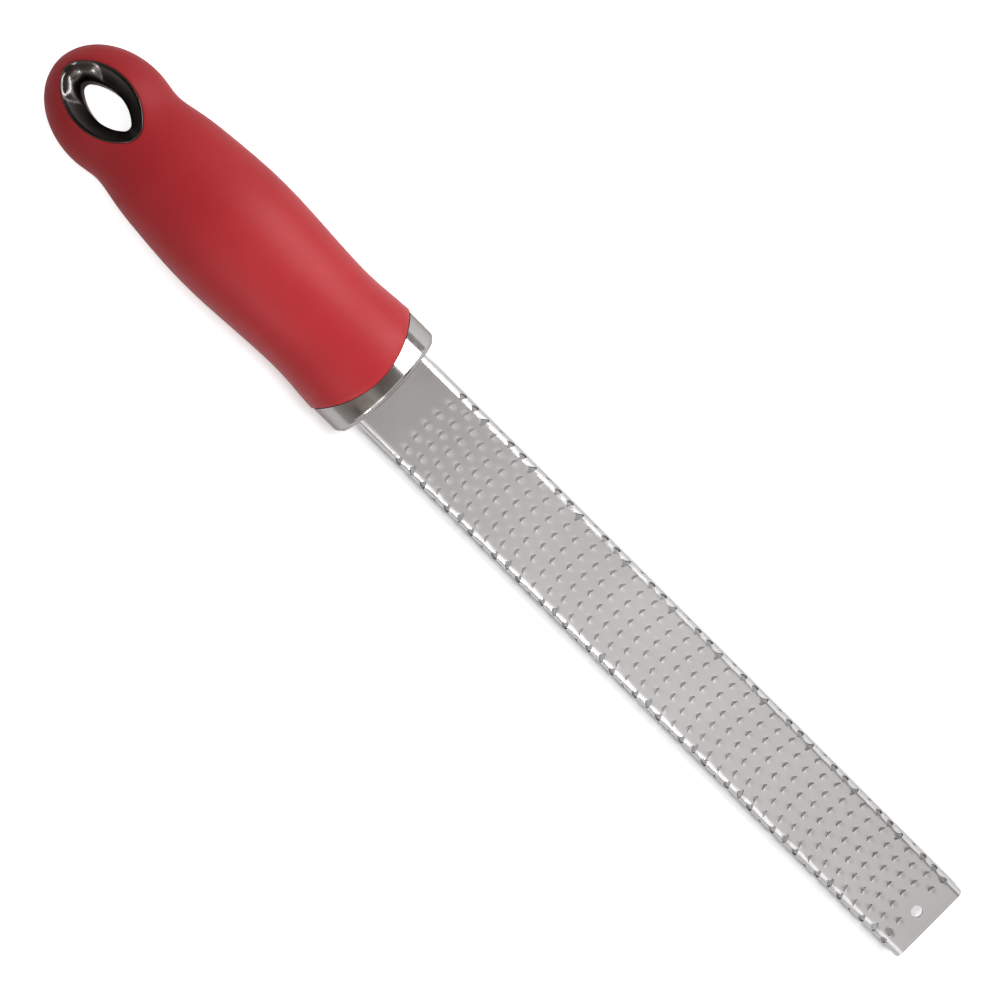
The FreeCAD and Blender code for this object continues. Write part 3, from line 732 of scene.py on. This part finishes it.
def grain_group():
    """Fine grain: the height of small close bumps, from noise stretched along the tool by a given amount."""
    inputs = [("Scale", "NodeSocketFloat", 3000.0), ("Stretch", "NodeSocketVector", (1.0, 1.0, 1.0))]
    group, given, result = new_group("fine_grain", inputs, "Height")
    place = group.nodes.new("ShaderNodeTexCoord").outputs["Object"]
    stretched = vector_math(group, "MULTIPLY", place, given["Stretch"]).outputs["Vector"]
    put(group, result["Height"], noise_on(group, stretched, given["Scale"], 2.0))
    return group


CLOUDY = cloud_group()
GRAIN = grain_group()
print("groups:", CLOUDY.name, GRAIN.name)

# %% Helpers for materials
def new_material(name, metallic, **constants):
    """A material with a Principled shader; constants are set on the shader's own sockets."""
    material = bpy.data.materials.new(name)
    material.use_nodes = True
    shader = material.node_tree.nodes["Principled BSDF"]
    shader.inputs["Metallic"].default_value = metallic
    for label, value in constants.items():
        shader.inputs[label.replace("_", " ")].default_value = value
    print("material:", name)
    return material, material.node_tree, shader


def place_group(tree, group, **values):
    """A group node in a material, with its own values."""
    node = tree.nodes.new("ShaderNodeGroup")
    node.node_tree = group
    for label, value in values.items():
        node.inputs[label].default_value = value
    return node


def cloudy_colour(tree, shader, scale, dark, light):
    """Base colour that wanders between two shades."""
    cloud = place_group(tree, CLOUDY, Scale=scale)
    tone = blend(tree, cloud.outputs["Value"], (*dark, 1.0), (*light, 1.0))
    tree.links.new(tone, shader.inputs["Base Color"])
    return tone


def cloudy_roughness(tree, shader, scale, low, high):
    """Roughness that wanders between two values."""
    cloud = place_group(tree, CLOUDY, Scale=scale, Low=low, High=high)
    tree.links.new(cloud.outputs["Value"], shader.inputs["Roughness"])


def grained(tree, shader, scale, stretch, strength, height):
    """Fine bumps on the surface."""
    grain = place_group(tree, GRAIN, Scale=scale, Stretch=stretch)
    bump = tree.nodes.new("ShaderNodeBump")
    bump.inputs["Strength"].default_value = strength
    bump.inputs["Distance"].default_value = height
    tree.links.new(grain.outputs["Height"], bump.inputs["Height"])
    tree.links.new(bump.outputs["Normal"], shader.inputs["Normal"])


# %% [markdown]
# ## The red rubber
# The handle is a soft-touch moulding: deep red, finely grained, with a wide soft shine and a trace of pale
# bloom where it turns away from the eye. A middling roughness gives the shine, sheen gives the bloom, and
# small bumps give the grain. Highlights painted into the colour would be right from one side only.

# %% Soft red rubber
EVEN = (1.0, 1.0, 1.0)
BLOOM = {"Sheen_Weight": 0.015, "Sheen_Roughness": 0.4, "Sheen_Tint": (1.0, 0.75, 0.75, 1.0)}

red, tree, shader = new_material("soft_red_rubber", 0.0, IOR=1.42, **BLOOM)
cloudy_colour(tree, shader, 60.0, (0.435, 0.016, 0.022), (0.47, 0.021, 0.027))
cloudy_roughness(tree, shader, 90.0, 0.42, 0.48)
grained(tree, shader, 4200.0, EVEN, 0.25, 0.00004)
grip.data.materials.append(red)

# %% [markdown]
# ## The etched steel
# The blade is stainless sheet made satin by acid: a metal with a broad, soft reflection and a faint cloud
# in it. Below the bend its folded sides blend to a darker base colour, a painted shade. The cut edges of
# slits and holes get a finish of their own: rougher, and darker as a painted shade that keeps the slits
# dark. The mesh already says which faces those are.

# %% Satin steel, with painted shade on its folded sides and cut edges
# Painted shade: below these heights the folded sides blend to a darker base colour.
FLANK_HEIGHTS = (0.0142, 0.0134)
FLANK_PAINTED_SHADE = (0.34, 0.325, 0.315, 1.0)

steel, tree, shader = new_material("satin_etched_steel", 1.0)
tone = cloudy_colour(tree, shader, 45.0, (0.64, 0.648, 0.652), (0.7, 0.709, 0.714))
apart = tree.nodes.new("ShaderNodeSeparateXYZ")
put(tree, apart.inputs["Vector"], tree.nodes.new("ShaderNodeTexCoord").outputs["Object"])
flank = ramp(tree, apart.outputs["Z"], *FLANK_HEIGHTS)
tree.links.new(blend(tree, flank, tone, FLANK_PAINTED_SHADE), shader.inputs["Base Color"])
cloudy_roughness(tree, shader, 140.0, 0.27, 0.32)
grained(tree, shader, 2600.0, (0.25, 1.0, 1.0), 0.12, 0.00002)
blade.data.materials.append(steel)

# Painted shade on the cut edges of slits and holes: their base colour is darker, so the slits read dark.
etched, tree, shader = new_material("cut_edge_painted_shade", 1.0)
cloudy_colour(tree, shader, 300.0, (0.33, 0.32, 0.31), (0.42, 0.41, 0.4))
cloudy_roughness(tree, shader, 400.0, 0.45, 0.6)
grained(tree, shader, 4000.0, EVEN, 0.3, 0.00002)
blade.data.materials.append(etched)

# %% [markdown]
# ## Two kinds of chrome
# The collar is bright chrome, a clear mirror that shows the softbox as a white patch and the dark room
# beside it. The lining of the hanging hole looks almost black in the same light, so it gets a far darker
# base colour and a slightly softer mirror. Both pick up smudges, which the wandering roughness gives.

# %% Bright chrome and a darker lining
chrome, tree, shader = new_material("bright_chrome", 1.0, Specular_Tint=(0.55, 0.5, 0.47, 1.0))
cloudy_colour(tree, shader, 70.0, (0.45, 0.44, 0.43), (0.49, 0.48, 0.47))
cloudy_roughness(tree, shader, 220.0, 0.1, 0.16)
collar.data.materials.append(chrome)

# The lining's base colour is far darker than the collar's.
dark_lining, tree, shader = new_material("dark_lining_chrome", 1.0, Specular_Tint=(0.5, 0.46, 0.43, 1.0))
cloudy_colour(tree, shader, 70.0, (0.125, 0.117, 0.112), (0.15, 0.141, 0.134))
cloudy_roughness(tree, shader, 220.0, 0.2, 0.26)
for piece in funnels:
    piece.data.materials.append(dark_lining)

# %% [markdown]
# ## The hidden pieces
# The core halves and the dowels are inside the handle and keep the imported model's own solids. They get
# plain workshop finishes, so that they look right when the handle is taken apart.

# %% Core plastic and ground steel
core, tree, shader = new_material("black_core_plastic", 0.0)
cloudy_colour(tree, shader, 80.0, (0.045, 0.045, 0.05), (0.055, 0.055, 0.06))
cloudy_roughness(tree, shader, 200.0, 0.45, 0.6)
grained(tree, shader, 2500.0, EVEN, 0.2, 0.00004)

pin, tree, shader = new_material("ground_pin_steel", 1.0)
cloudy_colour(tree, shader, 90.0, (0.52, 0.52, 0.51), (0.58, 0.58, 0.57))
cloudy_roughness(tree, shader, 300.0, 0.25, 0.35)
grained(tree, shader, 3000.0, (1.0, 1.0, 0.1), 0.2, 0.00002)

for node, material in (("core_upper", core), ("core_lower", core), ("tang_pins", pin)):
    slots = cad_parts[node].data.materials
    slots.clear()
    slots.append(material)

# %% [markdown]
# ## The table
# The tool lies on a white table that fades into a white page. The table glows a little for the camera,
# which keeps it white without more light on the tool, and the tool's shadow stays on it. The glow is left
# out under the blade, because the slits would shine otherwise; there the table only has the little light
# that falls in from the sides, and its paint is darker, darkest towards the far side: a painted shadow
# under the blade. A small spot under the tip's hole keeps its glow and white paint, a painted spot of light.

# %% The table's top
TABLE_HALF = 1.6
TABLE_DROP = 0.00005
TABLE_LINES = 3

table_mesh = bpy.data.meshes.new("table")
table_line = np.linspace(-TABLE_HALF, TABLE_HALF, TABLE_LINES)
table_x, table_y = np.meshgrid(table_line, table_line, indexing="ij")
table_points = np.stack([table_x, table_y, np.full_like(table_x, -TABLE_DROP)], axis=-1).reshape(-1, 3)
table_faces = grid_faces(TABLE_LINES, TABLE_LINES)[:, ::-1]
table_mesh.from_pydata(table_points.tolist(), [], table_faces.tolist())
table = bpy.data.objects.new("table", table_mesh)
scene.collection.objects.link(table)
print("table:", 2 * TABLE_HALF, "m wide")

# %% Its paint, with a painted shadow under the blade
TABLE_WHITE = 0.92
# Painted shadow: under the blade the paint goes from 0.9 on the near side to 0.3 on the far side.
UNDER_PAINTED_SHADE = (0.9, 0.3)
UNDER_SIDES = (-0.011, 0.011)
BESIDE = (0.0128, 0.0140)
BEHIND = (-0.036, -0.046)
BEYOND = (0.1640, 0.1690)
# A painted spot of light: the table keeps its glow and white paint in a small circle under the tip's hole.
HOLE_SPOT = (0.1643, 0.0, 0.0)
HOLE_EDGE = (0.0026, 0.0020)


def reckon(tree, operation, *values):
    """One step of arithmetic on numbers or outputs, such as MULTIPLY or MAXIMUM."""
    node = tree.nodes.new("ShaderNodeMath")
    node.operation = operation
    for socket, value in zip(node.inputs, values):
        put(tree, socket, value)
    return node.outputs["Value"]


def distance(tree, place, point):
    """How far a place is from a point."""
    return vector_math(tree, "DISTANCE", place, point).outputs["Value"]


white = bpy.data.materials.new("white_table")
white.use_nodes = True
tree = white.node_tree
tree.nodes.clear()
place = tree.nodes.new("ShaderNodeTexCoord").outputs["Object"]
apart = tree.nodes.new("ShaderNodeSeparateXYZ")
tree.links.new(place, apart.inputs["Vector"])
along_x, along_y = apart.outputs["X"], apart.outputs["Y"]
beside = ramp(tree, reckon(tree, "ABSOLUTE", along_y), *BESIDE)
past_ends = reckon(tree, "MAXIMUM", ramp(tree, along_x, *BEHIND), ramp(tree, along_x, *BEYOND))
# The painted spot of light under the tip's hole.
through_hole = ramp(tree, distance(tree, place, HOLE_SPOT), *HOLE_EDGE)
# Where the table keeps its glow and full white paint; under the blade it loses both, a painted shadow.
lit = reckon(tree, "MAXIMUM", reckon(tree, "MAXIMUM", beside, past_ends), through_hole)
under_painted_shade = ramp(tree, along_y, *UNDER_SIDES, *UNDER_PAINTED_SHADE)
cloth = tree.nodes.new("ShaderNodeBsdfDiffuse")
tree.links.new(ramp(tree, lit, 0.0, 1.0, under_painted_shade, TABLE_WHITE), cloth.inputs["Color"])
print("paint nodes:", len(tree.nodes))

# %% Its glow for the camera
NEAR_GLOW = 0.42
REAR_GLOW = 0.78
FAR_GLOW = 1.0
REARWARD = (-0.05, -0.14)
OUTWARD = (0.3, 0.8)
# Painted light under the blade: a little glow comes back there, fading to none towards the tip.
UNDER_GLOW = (0.26, 0.0)
TIPWARD = (0.06, 0.15)
MIRRORED_SHARE = 0.1
MIDDLE = (0.0, 0.0, 0.0)

path = tree.nodes.new("ShaderNodeLightPath")
mirrored = reckon(tree, "MAXIMUM", path.outputs["Is Glossy Ray"], path.outputs["Is Transmission Ray"])
seen = reckon(tree, "MULTIPLY_ADD", mirrored, MIRRORED_SHARE, path.outputs["Is Camera Ray"])
rear_glow = ramp(tree, along_x, *REARWARD, NEAR_GLOW, REAR_GLOW)
far_glow = ramp(tree, distance(tree, place, MIDDLE), *OUTWARD, NEAR_GLOW, FAR_GLOW)
under_glow = ramp(tree, along_x, *TIPWARD, *UNDER_GLOW)
full_glow = reckon(tree, "MAXIMUM", rear_glow, far_glow)
strength = reckon(tree, "MULTIPLY", full_glow, reckon(tree, "MAXIMUM", lit, under_glow))
glow = tree.nodes.new("ShaderNodeEmission")
tree.links.new(reckon(tree, "MULTIPLY", seen, strength), glow.inputs["Strength"])
both = tree.nodes.new("ShaderNodeAddShader")
output = tree.nodes.new("ShaderNodeOutputMaterial")
tree.links.new(cloth.outputs["BSDF"], both.inputs[0])
tree.links.new(glow.outputs["Emission"], both.inputs[1])
tree.links.new(both.outputs["Shader"], output.inputs["Surface"])
table_mesh.materials.append(white)
print("table nodes:", len(tree.nodes))

# %% [markdown]
# ## The light
# One soft box stands on the far side and gives the white patch in the collar, and a lamp high above
# lights the rest. A black flag keeps that lamp off the handle's rear, which is darker in the photograph.
# Metal shows what stands around it, so pale screens hang over and beside the blade, and one small lamp
# sparkles in the hanging hole. Screens only show in mirrors and don't light the rubber or the table.

# %% Lamps and screens
def soft_light(name, place, aim, width, height, radiance):
    """A flat lamp that looks from one point at another; its power is brightness * pi * width * height."""
    lamp = bpy.data.lights.new(name, "AREA")
    lamp.shape = "RECTANGLE"
    lamp.size, lamp.size_y = width, height
    lamp.energy = radiance * np.pi * width * height
    holder = bpy.data.objects.new(name, lamp)
    scene.collection.objects.link(holder)
    direction = Vector(aim) - Vector(place)
    holder.location = place
    holder.rotation_euler = direction.to_track_quat("-Z", "Y").to_euler()
    return holder


soft_light("side_softbox", (-0.02, 0.67, 0.57), (-0.02, 0.0, 0.0), 0.1, 0.69, 14.6)
top_lamp = soft_light("top_lamp", (0.0, 0.15, 1.0), (0.0, 0.0, 0.0), 0.2, 0.2, 41.0)
top_lamp.visible_glossy = False
screens = (
    soft_light("overhead_screen", (0.4, 0.0, 1.0), (0.4, 0.0, 0.0), 0.77, 1.0, 0.62),
    soft_light("near_screen", (0.42, -0.52, 0.8), (0.42, 0.0, 0.0), 0.8, 0.65, 1.1),
    soft_light("near_low_screen", (0.42, -0.855, 0.415), (0.42, 0.0, 0.0), 0.8, 0.4, 0.5),
    soft_light("far_screen", (0.44, 0.86, 0.4), (0.44, 0.0, 0.0), 0.82, 0.6, 0.9),
    soft_light("tip_screen", (1.25, 0.0, 0.5), (0.0, 0.0, 0.5), 1.8, 0.98, 0.45),
    soft_light("sparkle", (0.186, -0.626, 0.579), (-0.147, 0.0, 0.025), 0.12, 0.12, 25.0),
)
for screen in screens:
    screen.visible_diffuse = False
print("lamps:", len(screens) + 2)

# %% The black flag
FLAG_HEIGHT = 0.35
FLAG_PLAN = np.array([(-0.7, -0.3), (-0.083, -0.3), (-0.083, 0.25), (-0.7, 0.25)])

flag_mesh = bpy.data.meshes.new("flag")
flag_points = np.column_stack([FLAG_PLAN, np.full(len(FLAG_PLAN), FLAG_HEIGHT)])
flag_mesh.from_pydata(flag_points.tolist(), [], [(0, 1, 2, 3)])
flag = bpy.data.objects.new("flag", flag_mesh)
scene.collection.objects.link(flag)
flag.visible_camera = False
flag.visible_diffuse = False
flag.visible_glossy = False
flag.visible_transmission = False
flag_black, tree, shader = new_material("black_cloth", 0.0)
cloudy_colour(tree, shader, 5.0, (0.01, 0.01, 0.01), (0.012, 0.012, 0.012))
flag_mesh.materials.append(flag_black)
print("flag:", FLAG_HEIGHT, "m above the table")

# %% [markdown]
# ## The room
# A mirror is only as good as what it shows. The camera sees a white page behind the table, the rubber
# gets an even dim fill, and metal mirrors a dim brown room that is paler towards the horizon, with one
# lighter spot high on the near side. A single world does all three, because it can ask which kind of ray
# is looking at it.

# %% The room around
WHITE_PAGE = (1.0, 1.0, 1.0, 1.0)
FILL = (0.32, 0.32, 0.32, 1.0)
DARK_ROOM = (0.14, 0.104, 0.09, 1.0)
HORIZON = (0.5, 0.47, 0.45, 1.0)
HORIZON_TOP = 0.55
BROWN_SPOT = (0.26, 0.22, 0.19, 1.0)
SPOT_WAY = (0.0, -0.545, 0.839)
SPOT_EDGE = (0.92, 0.985)

room = bpy.data.worlds.new("dim_room")
room.use_nodes = True
tree = room.node_tree
path = tree.nodes.new("ShaderNodeLightPath")
way = tree.nodes.new("ShaderNodeTexCoord").outputs["Generated"]
apart = tree.nodes.new("ShaderNodeSeparateXYZ")
tree.links.new(way, apart.inputs["Vector"])
facing = vector_math(tree, "DOT_PRODUCT", way, SPOT_WAY).outputs["Value"]
walls = blend(tree, ramp(tree, apart.outputs["Z"], 0.0, HORIZON_TOP), HORIZON, DARK_ROOM)
mirrored = blend(tree, ramp(tree, facing, *SPOT_EDGE), walls, BROWN_SPOT)
air = blend(tree, path.outputs["Is Glossy Ray"], FILL, mirrored)
page = blend(tree, path.outputs["Is Camera Ray"], air, WHITE_PAGE)
tree.links.new(page, tree.nodes["Background"].inputs["Color"])
scene.world = room
print("room nodes:", len(tree.nodes))

# %% [markdown]
# ## The camera
# The photograph looks almost straight down, with the tool on the diagonal and its hanging hole at the
# upper left. The rows of teeth get closer together towards the tip, so the camera leans over the handle a
# little. Its place follows from a few measured numbers: the point in the middle of the picture, the
# distance, the lean and the turn.

# %% Place the camera
PICTURE_MIDDLE = Vector((-0.0038, -0.00046, 0.0148))
DISTANCE = 0.4947
LEAN = np.radians(6.7)
TURN = np.radians(44.8)
FOCAL_PIXELS = 1875.0
PICTURE_PIXELS = 1000
SENSOR_WIDTH = 36.0

look = Vector((np.sin(LEAN), 0.0, -np.cos(LEAN)))
tip_way = Vector((np.cos(LEAN), 0.0, np.sin(LEAN)))
across_way = Vector((0.0, 1.0, 0.0))
right = np.cos(TURN) * tip_way + np.sin(TURN) * across_way
up = -np.sin(TURN) * tip_way + np.cos(TURN) * across_way
lens = bpy.data.cameras.new("camera")
lens.sensor_width = SENSOR_WIDTH
lens.lens = FOCAL_PIXELS * SENSOR_WIDTH / PICTURE_PIXELS
camera = bpy.data.objects.new("camera", lens)
turned = Matrix((right, up, -look)).transposed().to_4x4()
camera.matrix_world = Matrix.Translation(PICTURE_MIDDLE - DISTANCE * look) @ turned
scene.collection.objects.link(camera)
scene.camera = camera
print("camera at", [round(v, 3) for v in camera.matrix_world.translation], "with a lens of", lens.lens, "mm")

# %% [markdown]
# ## Finishing
# The last call brings the scene up to date.

# %% Bring the scene up to date
bpy.context.view_layer.update()
